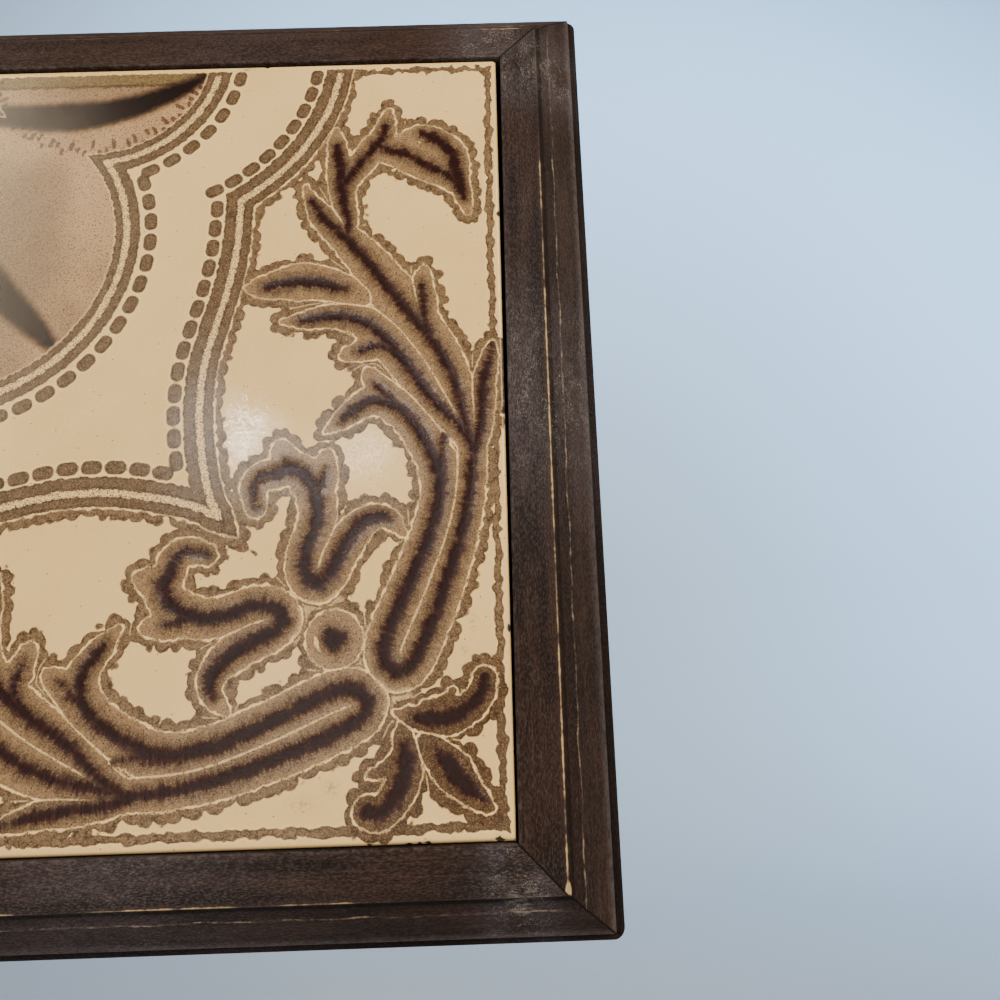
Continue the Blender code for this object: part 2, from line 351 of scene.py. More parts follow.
def circle_beads(circle, grow, start, end, count):
    """Beads at even steps along a circle, between two angles in degrees: place and direction."""
    radius = circle[2] + grow
    rows = []
    for k in range(count):
        angle = math.radians(start + (end - start) * (k + 0.5) / count)
        place = (circle[0] + radius * math.cos(angle), circle[1] + radius * math.sin(angle))
        rows.append((*place, -math.sin(angle), math.cos(angle)))
    return rows


def all_beads():
    """Beads on one side of the mirror line."""
    rows = circle_beads(OUTER_LOBE, -BEAD_OFFSET, 186.5, 245.4, 9)
    heights, lefts = side_line()
    slopes = np.gradient(lefts, heights)
    b = 154.5
    while b > 82.5:
        slope = np.interp(b, heights, slopes)
        size = math.hypot(1, slope)
        rows.append((np.interp(b, heights, lefts) + BEAD_OFFSET, b, slope / size, 1 / size))
        b -= BEAD_PITCH / size
    rows += circle_beads(INNER_LOBE, BEAD_OFFSET, 185.7, 249.4, 7)
    rows += circle_beads(INNER_MIDDLE_LOBE, BEAD_OFFSET, 155.4, 225.0, 10)
    return rows


def bead_field(places):
    far = np.full(len(places), FAR)
    for a, b, step_a, step_b in all_beads():
        for row in ((a, b, step_a, step_b), (b - MIRROR_SHIFT, a + MIRROR_SHIFT, step_b, step_a)):
            x = places[:, 0] - row[0]
            y = places[:, 1] - row[1]
            near = (abs(x) < 8) & (abs(y) < 8)
            along = abs(x[near] * row[2] + y[near] * row[3]) - (BEAD_HALF[0] - BEAD_ROUND)
            across = abs(x[near] * row[3] - y[near] * row[2]) - (BEAD_HALF[1] - BEAD_ROUND)
            gap = np.hypot(np.maximum(along, 0), np.maximum(across, 0)) - BEAD_ROUND
            far[near] = np.minimum(far[near], gap)
    return far


def spindle_field(places):
    far = np.full(len(places), FAR)
    for points in (SPINDLES[0], mirrored(SPINDLES[0]), SPINDLES[1]):
        far = np.minimum(far, stroke_fields(places, SPINDLE_HALF, SPINDLE_HALF, points)[0])
    return far


def tick_field(places):
    """Distance to short dark marks that point inwards from the inner medallion's border."""
    far = np.full(len(places), FAR)
    radius = INNER_LOBE[2]
    for spots in (places, mirror_places(places)):
        x = spots[:, 0] - INNER_LOBE[0]
        y = spots[:, 1] - INNER_LOBE[1]
        turn = np.degrees(np.arctan2(y, x)) % 360
        number = np.round(turn / TICK_PITCH)
        aside = np.radians(turn - number * TICK_PITCH) * np.hypot(x, y)
        start = 3.6 + 1.0 * np.sin(number * 2.3)
        reach = 0.75 + 0.5 * np.cos(number * 4.1)
        depth = abs(radius - np.hypot(x, y) - start - reach) - reach
        far = np.minimum(far, np.hypot(np.maximum(depth, 0), aside) - 0.38)
    return far


def chip_field(places):
    """Distance to the nearest chip in the glaze, with ragged edges."""
    far = np.full(len(places), FAR)
    for a, b, radius in EDGE_CHIPS:
        x = places[:, 0] - a
        y = places[:, 1] - b
        ragged = 1 + 0.35 * np.sin(5 * np.arctan2(y, x) + 9 * a)
        far = np.minimum(far, np.hypot(x, y) - radius * ragged)
    return far


def smudge_field(places):
    """How strongly the glaze is smudged, from 0 to 1."""
    share = np.zeros(len(places))
    for a, b, reach_a, reach_b, strength in SMUDGES:
        gap = ((places[:, 0] - a) / reach_a) ** 2 + ((places[:, 1] - b) / reach_b) ** 2
        share = np.maximum(share, strength * np.exp(-gap))
    return share


def picture_fields(places):
    """Everything that the tile's paint is drawn from, by attribute name."""
    layers, vein, along = leaf_fields(places)
    outer, inner = medallion_fields(places)
    a, b = places[:, 0], places[:, 1]
    rim = np.minimum(np.minimum(a + 0.4, SIDE_MM - a), np.minimum(b - 0.2, SIDE_MM - b))
    return {
        "leaf_first": layers[0], "leaf_second": layers[1], "leaf_third": layers[2],
        "vein": vein, "along": along, "joint": joint_field(places),
        "outer": outer, "inner": inner, "bead": bead_field(places), "rim": rim,
        "spindle": spindle_field(places), "tick": tick_field(places), "chip": chip_field(places),
        "height": b, "corner": np.hypot(a, b), "smudge": smudge_field(places),
        "upper": np.maximum(b, a + MIRROR_SHIFT),
        "fleck": stroke_fields(places, FLECK[0], FLECK[0], FLECK[1])[0],
        "star": np.hypot(a - STAR_CENTRE[0], b - STAR_CENTRE[1]),
    }


def linear(red, green, blue):
    """A colour as seen on screen, in the values that a shader takes."""
    return tuple((c / 255 / 12.92) if c < 10 else ((c / 255 + 0.055) / 1.055) ** 2.4
                 for c in (red, green, blue))


class Shading:
    """Adds nodes to one new material. A method returns the output that it makes."""

    def __init__(self, name):
        self.material = bpy.data.materials.new(name)
        self.material.use_nodes = True
        self.tree = self.material.node_tree
        self.shader = self.tree.nodes["Principled BSDF"]

    def put(self, value, target):
        if isinstance(value, bpy.types.NodeSocket):
            self.tree.links.new(value, target)
        elif isinstance(value, tuple) and target.type == "RGBA":
            target.default_value = (*value, 1.0)
        else:
            target.default_value = value

    def add(self, kind, **settings):
        node = self.tree.nodes.new(kind)
        for key, value in settings.items():
            setattr(node, key, value)
        return node

    def attribute(self, name):
        return self.add("ShaderNodeAttribute", attribute_name=name).outputs["Fac"]

    def place(self):
        """Place on the object in millimetres, with the wall's normal last."""
        place = self.add("ShaderNodeTexCoord").outputs["Object"]
        parts = self.add("ShaderNodeSeparateXYZ")
        self.put(place, parts.inputs[0])
        x, y, z = (self.math("MULTIPLY", parts.outputs[k], 1 / MM) for k in range(3))
        return self.vector(x, z, y)

    def vector(self, x, y, z):
        node = self.add("ShaderNodeCombineXYZ")
        for value, target in zip((x, y, z), node.inputs):
            self.put(value, target)
        return node.outputs[0]

    def math(self, operation, *values):
        node = self.add("ShaderNodeMath", operation=operation)
        for value, target in zip(values, node.inputs):
            self.put(value, target)
        return node.outputs[0]

    def total(self, *values):
        result = values[0]
        for value in values[1:]:
            result = self.math("ADD", result, value)
        return result

    def times(self, *values):
        result = values[0]
        for value in values[1:]:
            result = self.math("MULTIPLY", result, value)
        return result

    def swing(self, value, size):
        """A 0 to 1 value as a change of that size each way."""
        return self.math("MULTIPLY_ADD", value, 2.0 * size, -size)

    def ramp(self, value, low, high, start=0.0, end=1.0):
        node = self.add("ShaderNodeMapRange", interpolation_type="SMOOTHSTEP")
        for item, target in zip((value, low, high, start, end), node.inputs):
            self.put(item, target)
        return node.outputs[0]

    def above(self, value, edge, soft=0.25):
        return self.ramp(value, edge - soft / 2, edge + soft / 2)

    def below(self, value, edge, soft=0.25):
        return self.ramp(value, edge - soft / 2, edge + soft / 2, 1.0, 0.0)

    def between(self, value, low, high, soft=0.25):
        return self.times(self.above(value, low, soft), self.below(value, high, soft))

    def mix(self, share, first, second):
        node = self.add("ShaderNodeMix", data_type="RGBA")
        self.put(share, node.inputs[0])
        self.put(first, node.inputs[6])
        self.put(second, node.inputs[7])
        return node.outputs[2]

    def noise(self, place, size, detail=2.0, roughness=0.5):
        node = self.add("ShaderNodeTexNoise")
        self.put(place, node.inputs["Vector"])
        node.inputs["Scale"].default_value = 1 / size
        node.inputs["Detail"].default_value = detail
        node.inputs["Roughness"].default_value = roughness
        return node.outputs["Fac"]

    def cells(self, place, size, randomness=1.0, smooth=0.0):
        """Distance to the nearest of many scattered points, as a share of their spacing."""
        node = self.add("ShaderNodeTexVoronoi", voronoi_dimensions="2D")
        if smooth:
            node.feature = "SMOOTH_F1"
            node.inputs["Smoothness"].default_value = smooth
        self.put(place, node.inputs["Vector"])
        node.inputs["Scale"].default_value = 1 / size
        node.inputs["Randomness"].default_value = randomness
        return node.outputs["Distance"]

    def bump(self, height, distance, strength=1.0, under=None):
        node = self.add("ShaderNodeBump")
        node.inputs["Strength"].default_value = strength
        node.inputs["Distance"].default_value = distance
        self.put(height, node.inputs["Height"])
        if under:
            self.put(under, node.inputs["Normal"])
        return node.outputs["Normal"]

    def surface(self, colour, roughness, normal=None, **plain):
        self.put(colour, self.shader.inputs["Base Color"])
        self.put(roughness, self.shader.inputs["Roughness"])
        if normal:
            self.put(normal, self.shader.inputs["Normal"])
        for name, value in plain.items():
            self.put(value, self.shader.inputs[name.replace("_", " ")])
        return self.material


# Paint on the tile
GROUND = linear(235, 205, 146)
GROUND_SHADE = linear(228, 197, 137)
LIGHT_LINE = linear(244, 214, 158)
BROWN = linear(122, 101, 79)
BROWN_EDGE = linear(88, 70, 52)
BROWN_DARK = linear(58, 43, 31)
STRIPE = linear(106, 88, 70)
STRIPE_DARK = linear(82, 65, 47)
LEAF = linear(146, 120, 92)
LEAF_MIDDLE = linear(106, 87, 68)
LEAF_DARK = linear(64, 47, 38)
VEIN = linear(36, 17, 15)
VEIN_EDGE = linear(64, 35, 28)
DEEP = linear(88, 66, 46)
DEEP_DARK = linear(58, 38, 26)
SPINDLE = linear(27, 15, 16)
PALE = linear(236, 206, 152)
STIPPLE = linear(242, 212, 158)
PINK_GROUND = linear(184, 152, 117)
OLIVE = linear(116, 100, 68)
CLAY = linear(150, 104, 76)
BISCUIT = linear(188, 150, 118)
MORTAR = linear(184, 168, 146)
CREVICE_DIRT = linear(56, 46, 36)
FADED_DIRT = linear(128, 124, 98)


def paint_ribbon(draw, colour, field, texture, low, high):
    """A brown line whose two edges wave together, darker and spotted at its outer edge."""
    near = draw.total(field, draw.times(texture["ruffle"], 0.7), texture["tremble"])
    far = draw.total(field, texture["ruffle"], texture["tremble"])
    line = draw.times(draw.above(near, low + 0.4, 0.35), draw.below(far, high + 0.4, 0.35))
    brown = draw.mix(texture["mottle"], BROWN, BROWN_EDGE)
    brown = draw.mix(texture["deep"], brown, draw.mix(texture["spots"], DEEP, DEEP_DARK))
    colour = draw.mix(line, colour, brown)
    edge = draw.times(line, draw.above(far, high - 0.35, 0.8), texture["spots"])
    return draw.mix(edge, colour, BROWN_DARK), line


def paint_leaves(draw, colour, texture):
    """Leaves with a ruffled brown border, a light outline and a brushed dark vein."""
    first, second, third = (draw.attribute(n) for n in ("leaf_first", "leaf_second", "leaf_third"))
    low = draw.math("MINIMUM", first, second)
    high = draw.math("MAXIMUM", first, second)
    nearest = draw.math("MINIMUM", low, third)
    next_one = draw.math("MAXIMUM", low, draw.math("MINIMUM", high, third))
    gap = draw.math("SUBTRACT", next_one, nearest)
    apart_here = draw.math("SUBTRACT", 1.0, draw.attribute("joint"))
    edge = draw.total(nearest, texture["tremble"])
    colour, border = paint_ribbon(draw, colour, nearest, texture, 0.3, 2.75)
    outline = draw.times(draw.below(draw.total(edge, draw.swing(texture["fine"], 0.25)), 0.48, 0.45),
                         draw.ramp(texture["big"], 0.35, 0.65, 0.42, 0.7))
    colour = draw.mix(outline, colour, LIGHT_LINE)
    between = draw.times(draw.below(gap, 0.3, 0.4), draw.between(nearest, 1.0, 2.3, 0.4),
                         apart_here, 0.5)
    colour = draw.mix(between, colour, LIGHT_LINE)

    vein = draw.attribute("vein")
    strands = draw.noise(draw.vector(draw.times(draw.attribute("along"), 1.3),
                                     draw.times(vein, 0.35), 0.0), 1.0, 4.0, 0.7)
    uneven = draw.swing(draw.noise(texture["place"], 2.6, 2.0), 1.1)
    brushed = draw.total(vein, draw.swing(strands, 1.9), uneven)
    leaf = draw.mix(draw.ramp(brushed, 0.0, 1.1), LEAF_DARK, LEAF_MIDDLE)
    leaf = draw.mix(draw.ramp(brushed, 0.8, 2.6), leaf, LEAF)
    leaf = draw.mix(draw.times(texture["mottle"], 0.45), leaf, LEAF_MIDDLE)
    leaf = draw.mix(texture["deep"], leaf, draw.mix(texture["spots"], DEEP, DEEP_DARK))
    colour = draw.mix(draw.below(edge, 0.1, 0.3), colour, leaf)

    apart = draw.times(draw.below(draw.total(gap, texture["tremble"]), 0.4, 0.4),
                       draw.above(vein, 0.8, 0.8), draw.below(nearest, 0.5, 0.3), 0.65, apart_here)
    colour = draw.mix(apart, colour, LIGHT_LINE)
    core = draw.mix(draw.ramp(brushed, -0.9, 0.2), VEIN, VEIN_EDGE)
    in_vein = draw.times(draw.below(brushed, 0.05, 0.7), draw.below(nearest, 0.3, 0.4))
    colour = draw.mix(in_vein, colour, core)
    fleck = draw.total(draw.attribute("fleck"), texture["tremble"])
    colour = draw.mix(draw.times(draw.below(fleck, 0.0, 0.3), 0.85), colour, LIGHT_LINE)
    on_paint = draw.math("MAXIMUM", draw.below(edge, 0.1, 0.3), border)
    return colour, on_paint, in_vein, vein


def paint_stripes(draw, colour, field, texture, halves):
    """Two brown stripes beside a pale stippled one, in light outlines."""
    low, high = halves
    trembling = draw.total(field, texture["tremble"])
    colour = draw.mix(draw.times(draw.between(trembling, -low - 0.5, high + 0.4, 0.4), 0.45),
                      colour, LIGHT_LINE)
    band = draw.times(draw.between(trembling, -low, high, 0.3), texture["inside"])
    colour = draw.mix(band, colour, draw.mix(texture["mottle"], STRIPE, STRIPE_DARK))
    middle = draw.math("ABSOLUTE", trembling)
    edges = draw.total(draw.between(middle, PALE_HALF, PALE_HALF + 0.6, 0.3),
                       draw.below(trembling, 0.6 - low, 0.5), draw.above(trembling, high - 0.6, 0.5))
    colour = draw.mix(draw.times(edges, band, texture["spots"]), colour, BROWN_DARK)
    pale = draw.times(draw.below(middle, PALE_HALF, 0.3), texture["open"])
    dots = draw.times(draw.above(texture["fine"], 0.54, 0.14), draw.ramp(middle, 0.1, 0.8, 0.45, 0.9))
    return draw.mix(pale, colour, draw.mix(dots, PALE, BROWN_EDGE)), band


def paint_picture(draw, texture, inner):
    """The dim picture inside the medallion: dark spindles over a pinkish brown ground."""
    colour = draw.mix(draw.ramp(texture["big"], 0.35, 0.65), PINK_GROUND, LEAF)
    colour = draw.mix(draw.ramp(inner, -22.0, -8.0, 0.6, 0.0), colour, BROWN)
    height = draw.attribute("height")
    strip = draw.times(draw.above(draw.total(height, draw.swing(texture["middle"], 0.8)), 194.4, 0.4),
                       draw.below(inner, -5.0, 0.5))
    colour = draw.mix(strip, colour, OLIVE)
    rim = draw.between(draw.total(height, draw.swing(texture["middle"], 0.8)), 194.0, 194.9, 0.4)
    colour = draw.mix(draw.times(rim, draw.below(inner, -5.0, 0.5), 0.7), colour, BROWN_DARK)
    tick = draw.total(draw.attribute("tick"), draw.swing(texture["middle"], 0.7))
    colour = draw.mix(draw.times(draw.below(tick, 0.2, 0.4), 0.85), colour, VEIN_EDGE)
    spindle = draw.total(draw.attribute("spindle"), draw.swing(texture["middle"], 0.6))
    colour = draw.mix(draw.ramp(spindle, -0.6, 1.6, 0.9, 0.0), colour, LEAF_DARK)
    colour = draw.mix(draw.ramp(spindle, -1.6, 0.4, 1.0, 0.0), colour, SPINDLE)
    star = draw.attribute("star")
    colour = draw.mix(draw.below(star, 12.6, 0.4), colour, LIGHT_LINE)
    colour = draw.mix(draw.below(star, 11.8, 0.3), colour, LEAF)
    blurred = draw.total(star, draw.swing(texture["middle"], 1.4))
    return draw.mix(draw.below(blurred, 6.5, 1.6), colour, VEIN)


def paint_medallion(draw, colour, texture):
    outer = draw.attribute("outer")
    inner = draw.attribute("inner")
    colour = draw.mix(draw.below(outer, 0.0, 0.3), colour, texture["ground"])
    shut = draw.times(draw.math("SUBTRACT", 1.0, texture["inside"]), FAR)
    bead = draw.total(draw.attribute("bead"), draw.swing(texture["middle"], 0.25), shut)
    colour = draw.mix(draw.times(draw.below(bead, 0.55, 0.4), 0.6), colour, LIGHT_LINE)
    bead_brown = draw.mix(texture["mottle"], STRIPE, STRIPE_DARK)
    colour = draw.mix(draw.below(bead, 0.0, 0.3), colour, bead_brown)
    ring = draw.times(draw.between(bead, -0.65, 0.05, 0.35), texture["spots"])
    colour = draw.mix(ring, colour, BROWN_DARK)
    picture = draw.times(draw.below(inner, -2.0, 0.3), texture["inside"])
    colour = draw.mix(picture, colour, paint_picture(draw, texture, inner))
    colour, outer_band = paint_stripes(draw, colour, outer, texture, OUTER_STRIPES)
    colour, inner_band = paint_stripes(draw, colour, inner, texture, INNER_STRIPES)
    painted = picture
    for part in (outer_band, inner_band, draw.below(bead, 0.0, 0.3)):
        painted = draw.math("MAXIMUM", painted, part)
    return colour, painted


def tile_textures(draw):
    place = draw.place()
    texture = {
        "place": place,
        "big": draw.noise(place, 26.0, 2.0),
        "middle": draw.noise(place, 1.3, 2.0),
        "fine": draw.noise(place, 0.34, 2.0, 0.65),
        "pits": draw.cells(place, 9.0),
        "dots": draw.cells(place, 0.9),
    }
    lumps = draw.cells(place, 2.9, 0.8, 0.25)
    texture["ruffle"] = draw.times(lumps, lumps, 3.0)
    texture["tremble"] = draw.swing(texture["middle"], 0.6)
    texture["deep"] = draw.ramp(draw.attribute("corner"), 32.0, 42.0, 0.95, 0.0)
    upper = draw.total(draw.attribute("upper"), texture["tremble"])
    texture["inside"] = draw.below(upper, PICTURE_END, 0.3)
    texture["open"] = draw.below(upper, CAP_START, 0.4)
    texture["mottle"] = draw.ramp(draw.noise(place, 1.6, 3.0, 0.6), 0.40, 0.66, 0.0, 0.75)
    texture["spots"] = draw.ramp(draw.noise(place, 1.3, 3.0, 0.6), 0.44, 0.62, 0.1, 0.8)
    texture["ground"] = draw.mix(draw.ramp(texture["big"], 0.3, 0.7), GROUND, GROUND_SHADE)
    return texture


def glazed_paint():
    draw = Shading("painted_cream_glaze")
    texture = tile_textures(draw)
    place = texture["place"]
    outer = draw.attribute("outer")
    rim = draw.attribute("rim")
    drift = draw.swing(draw.noise(place, 3.4, 1.0), 1.3)
    zigzag = draw.times(draw.swing(draw.noise(place, 2.3, 1.0), 1.5),
                        draw.above(draw.attribute("height"), 192.0, 3.0))
    drift = draw.total(drift, zigzag)
    rim_gap = draw.math("ABSOLUTE", draw.total(rim, drift, -2.9))
    clear = draw.above(outer, 5.0, 0.5)
    rim_line = draw.total(rim_gap, texture["tremble"])
    rim_halo = draw.times(draw.below(rim_line, 1.4, 0.5), clear, 0.6)
    colour = draw.mix(rim_halo, texture["ground"], LIGHT_LINE)
    brown = draw.mix(texture["mottle"], BROWN, BROWN_EDGE)
    brown = draw.mix(draw.times(texture["deep"], 0.8), brown, BROWN_EDGE)
    colour = draw.mix(draw.times(draw.below(rim_line, 0.95, 0.3), clear), colour, brown)
    rim_edge = draw.times(draw.between(rim_line, 0.5, 0.95, 0.3), clear, texture["spots"])
    colour = draw.mix(rim_edge, colour, BROWN_DARK)
    beyond = draw.times(draw.math("SUBTRACT", 1.0, texture["inside"]), FAR)
    colour, band = paint_ribbon(draw, colour, draw.total(outer, beyond), texture, 3.75, 6.1)

    colour, on_paint, in_vein, vein = paint_leaves(draw, colour, texture)
    colour, in_medallion = paint_medallion(draw, colour, texture)
    painted = draw.math("MAXIMUM", draw.math("MAXIMUM", on_paint, in_medallion),
                        draw.math("MAXIMUM", band, draw.times(draw.below(rim_line, 0.95, 0.3), clear)))

    dark = draw.math("MAXIMUM", in_vein, draw.below(draw.attribute("spindle"), 0.5, 1.0))
    open_paint = draw.times(painted, draw.below(dark, 0.5, 0.5))
    speckle = draw.times(draw.above(texture["fine"], 0.57, 0.12), open_paint, 0.4)
    colour = draw.mix(speckle, colour, BROWN_DARK)
    pepper = draw.times(draw.below(texture["dots"], 0.19, 0.1), open_paint,
                        draw.ramp(texture["middle"], 0.4, 0.6, 0.2, 0.9))
    colour = draw.mix(pepper, colour, LEAF_DARK)
    pale_speckle = draw.times(draw.below(texture["fine"], 0.43, 0.1), open_paint, 0.12)
    colour = draw.mix(pale_speckle, colour, STIPPLE)
    pits = draw.times(draw.below(texture["pits"], 0.018, 0.012), 0.8)
    colour = draw.mix(pits, colour, CREVICE_DIRT)
    smudge = draw.times(draw.ramp(draw.noise(place, 7.0, 4.0, 0.75), 0.66, 0.76), 0.5)
    colour = draw.mix(draw.times(smudge, draw.math("SUBTRACT", 1.0, painted)), colour, FADED_DIRT)
    grime = draw.times(draw.attribute("smudge"), draw.ramp(draw.noise(place, 0.9, 3.0, 0.7), 0.4, 0.62))
    colour = draw.mix(draw.times(grime, 0.8), colour, FADED_DIRT)
    edge_dirt = draw.times(draw.below(rim, 0.5, 0.7), 0.5)
    colour = draw.mix(edge_dirt, colour, CREVICE_DIRT)
    chip = draw.attribute("chip")
    colour = draw.mix(draw.below(chip, 0.0, 0.3), colour, CREVICE_DIRT)

    grain = draw.times(texture["fine"], draw.math("MULTIPLY_ADD", painted, 0.65, 0.35))
    normal = draw.bump(grain, 0.00003)
    pebbled = draw.times(draw.noise(place, 0.8, 2.0), in_vein)
    normal = draw.bump(pebbled, 0.00006, 1.0, normal)
    normal = draw.bump(draw.ramp(vein, -1.2, 1.6), 0.00022, 0.6, normal)
    normal = draw.bump(draw.noise(place, 2.4, 2.0), 0.00004, 0.5, normal)
    dull = draw.times(draw.above(draw.noise(place, 0.5, 3.0, 0.75), 0.52, 0.06), 0.3)
    unpainted = draw.math("SUBTRACT", 1.0, painted)
    roughness = draw.total(draw.times(painted, 0.13), draw.times(in_vein, 0.08),
                           draw.times(unpainted, dull), 0.04)
    roughness = draw.math("MAXIMUM", roughness, draw.times(draw.below(chip, 0.0, 0.3), 0.8))
    return draw.surface(colour, roughness, normal, Specular_IOR_Level=0.36)


def bare_clay():
    draw = Shading("biscuit_clay")
    place = draw.place()
    tone = draw.mix(draw.ramp(draw.noise(place, 30.0, 3.0), 0.35, 0.65), BISCUIT, CLAY)
    sand = draw.noise(place, 0.5, 3.0, 0.7)
    colour = draw.mix(draw.times(draw.above(sand, 0.6, 0.1), 0.5), tone, LEAF_DARK)
    mortar = draw.times(draw.ramp(draw.noise(place, 7.0, 4.0, 0.65), 0.56, 0.66), 0.35)
    colour = draw.mix(mortar, colour, MORTAR)
    return draw.surface(colour, 0.9, draw.bump(sand, 0.00015, 0.6))


def add_numbers(mesh, fields):
    for name, values in fields.items():
        attribute = mesh.attributes.new(name, "FLOAT", "POINT")
        attribute.data.foreach_set("value", np.asarray(values, np.float32))


def new_piece(name, points, faces, materials, nodes):
    mesh = bpy.data.meshes.new(name)
    mesh.from_pydata([tuple(p) for p in points], [], faces)
    mesh.update()
    piece = bpy.data.objects.new(name, mesh)
    bpy.context.scene.collection.objects.link(piece)
    for material in materials:
        mesh.materials.append(material)
    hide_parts(*nodes)
    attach(piece, "root")
    return piece


def tile_point(a, b, y):
    """World place of a spot on the tile, with its slight lean."""
    x = TILE_HIGH.x - TILE_LEAN - a * MM + TILE_LEAN * (1 - b / SIDE_MM)
    return x, y, TILE_LOW.z + b * MM


def edge_grid(count):
    """Even steps across the tile, with finer ones over its rounded edges."""
    close = np.array([0.0, 0.12, 0.3, 0.55, 0.9])
    inside = np.linspace(1.4, SIDE_MM - 1.4, count - 2 * len(close) + 1)
    return np.concatenate([close, inside, SIDE_MM - close[::-1]])


def face_drop(a, b):
    """How far the face falls back at its rounded edges, in metres."""
    radius = FACE_EDGE_ROUND / MM
    reach_a = np.clip(radius - np.minimum(a, SIDE_MM - a), 0, radius)
    reach_b = np.clip(radius - np.minimum(b, SIDE_MM - b), 0, radius)
    reach = np.minimum(np.hypot(reach_a, reach_b), radius)
    return (radius - np.sqrt(radius ** 2 - reach ** 2)) * MM


def stitch(first, second, place):
    """Triangles between two rows of vertex numbers that run side by side."""
    faces = []
    i = j = 0
    while i < len(first) - 1 or j < len(second) - 1:
        step_first = place[first[i + 1]] if i < len(first) - 1 else math.inf
        step_second = place[second[j + 1]] if j < len(second) - 1 else math.inf
        if step_first <= step_second:
            faces.append((first[i], first[i + 1], second[j]))
            i += 1
        else:
            faces.append((second[j + 1], second[j], first[i]))
            j += 1
    return faces


def ring_sides(index):
    """The four border rows of a grid of vertex numbers, in turn round it, corners shared."""
    return (index[0, :], index[:, -1], index[-1, ::-1], index[::-1, 0])


def grid_faces(index, flip=False):
    corners = (index[:-1, :-1], index[1:, :-1], index[1:, 1:], index[:-1, 1:])
    quads = np.stack([c.ravel() for c in corners], axis=1)
    return [tuple(q) for q in (quads[:, ::-1] if flip else quads).tolist()]


def make_tile():
    """The glazed face as a fine grid, plain sides and a back with keying grooves."""
    steps = edge_grid(FACE_CELLS)
    b, a = np.meshgrid(steps, steps, indexing="ij")
    a, b = a.ravel(), b.ravel()
    places = np.column_stack([a, b])
    fields = picture_fields(places)
    wave = np.array([noise.noise(Vector((x * 0.09, y * 0.09, 3.0))) for x, y in places])
    inset = np.clip(np.minimum(np.minimum(a, SIDE_MM - a), np.minimum(b, SIDE_MM - b)) / 4, 0, 1)
    hollow = 0.0005 * np.clip(-fields["chip"] / 0.6, 0, 1)
    y = FACE_Y + face_drop(a, b) + GLAZE_WAVE * (1 + wave) * inset + hollow
    points = np.column_stack(tile_point(a, b, y))
    count = len(steps)
    front = np.arange(count * count).reshape(count, count)

    field = TILE_SIDE - 2 * GROOVE_MARGIN
    pitch = (field - GROOVE_WIDTH) / (GROOVE_COUNT - 1)
    lines = [0.0]
    for k in range(GROOVE_COUNT):
        left = (GROOVE_MARGIN + k * pitch) / MM
        right = left + GROOVE_WIDTH / MM
        lines += [left, left + 0.5, right - 0.5, right]
    lines.append(SIDE_MM)
    rows = [0.0, GROOVE_MARGIN / MM, GROOVE_MARGIN / MM + 0.5]
    rows += [SIDE_MM - r for r in reversed(rows)]
    back_b, back_a = np.meshgrid(rows, lines, indexing="ij")
    grooved = np.zeros(back_a.shape, bool)
    for k in range(GROOVE_COUNT):
        grooved[2:4, 2 + 4 * k] = True
        grooved[2:4, 3 + 4 * k] = True
    back_y = TILE_BACK_Y - GROOVE_DEPTH * grooved
    back_points = np.column_stack(tile_point(back_a.ravel(), back_b.ravel(), back_y.ravel()))
    back = len(points) + np.arange(back_a.size).reshape(back_a.shape)
    ring_start = len(points) + len(back_points)
    all_a = np.concatenate([a, back_a.ravel()])
    all_b = np.concatenate([b, back_b.ravel()])

    faces = grid_faces(front)
    skirt_points = []
    numbers = {}
    for row in ring_sides(front):
        for vertex in row:
            if int(vertex) not in numbers:
                numbers[int(vertex)] = ring_start + len(skirt_points)
                skirt_points.append(tile_point(a[vertex], b[vertex], FACE_Y + 0.0022))
    all_a = np.concatenate([all_a, [a[v] for v in numbers]])
    all_b = np.concatenate([all_b, [b[v] for v in numbers]])
    glazed_sides = []
    clay_sides = []
    for axis, front_row, back_row in zip((all_a, all_b, -all_a, -all_b), ring_sides(front),
                                         ring_sides(back)):
        front_row = [int(v) for v in front_row]
        skirt_row = [numbers[v] for v in front_row]
        for k in range(len(front_row) - 1):
            glazed_sides.append((front_row[k + 1], front_row[k], skirt_row[k], skirt_row[k + 1]))
        clay_sides += [face[::-1] for face in stitch(skirt_row, [int(v) for v in back_row], axis)]
    faces += glazed_sides
    clay_start = len(faces)
    faces += clay_sides
    faces += grid_faces(back, flip=True)

    points = np.vstack([points, back_points, np.array(skirt_points)])
    tile = new_piece("glazed_tile", points, faces, (glazed_paint(), bare_clay()), ("tile",))
    mesh = tile.data
    mesh.polygons.foreach_set("material_index", [0] * clay_start + [1] * (len(faces) - clay_start))
    mesh.shade_smooth()
    mesh.set_sharp_from_angle(angle=math.radians(40))
    padding = len(points) - len(a)
    skirt_fields = {}
    for name, values in fields.items():
        fill = 0.0 if name in ("rim", "joint", "along", "smudge") else FAR
        skirt_fields[name] = np.concatenate([values, np.full(padding, fill)])
    add_numbers(mesh, skirt_fields)
    return tile


def arc(centre, radius, start, end, steps=6):
    points = []
    for step in range(steps + 1):
        angle = math.radians(start + (end - start) * step / steps)
        points.append((centre[0] + radius * math.cos(angle), centre[1] + radius * math.sin(angle)))
    return points


def straight(start, end, steps, sag=0.0):
    """Points after the start and before the end, on a line or a shallow hollow."""
    points = []
    for step in range(1, steps):
        share = step / steps
        out = start[0] + (end[0] - start[0]) * share
        up = start[1] + (end[1] - start[1]) * share - 4 * sag * share * (1 - share)
        points.append((out, up))
    return points


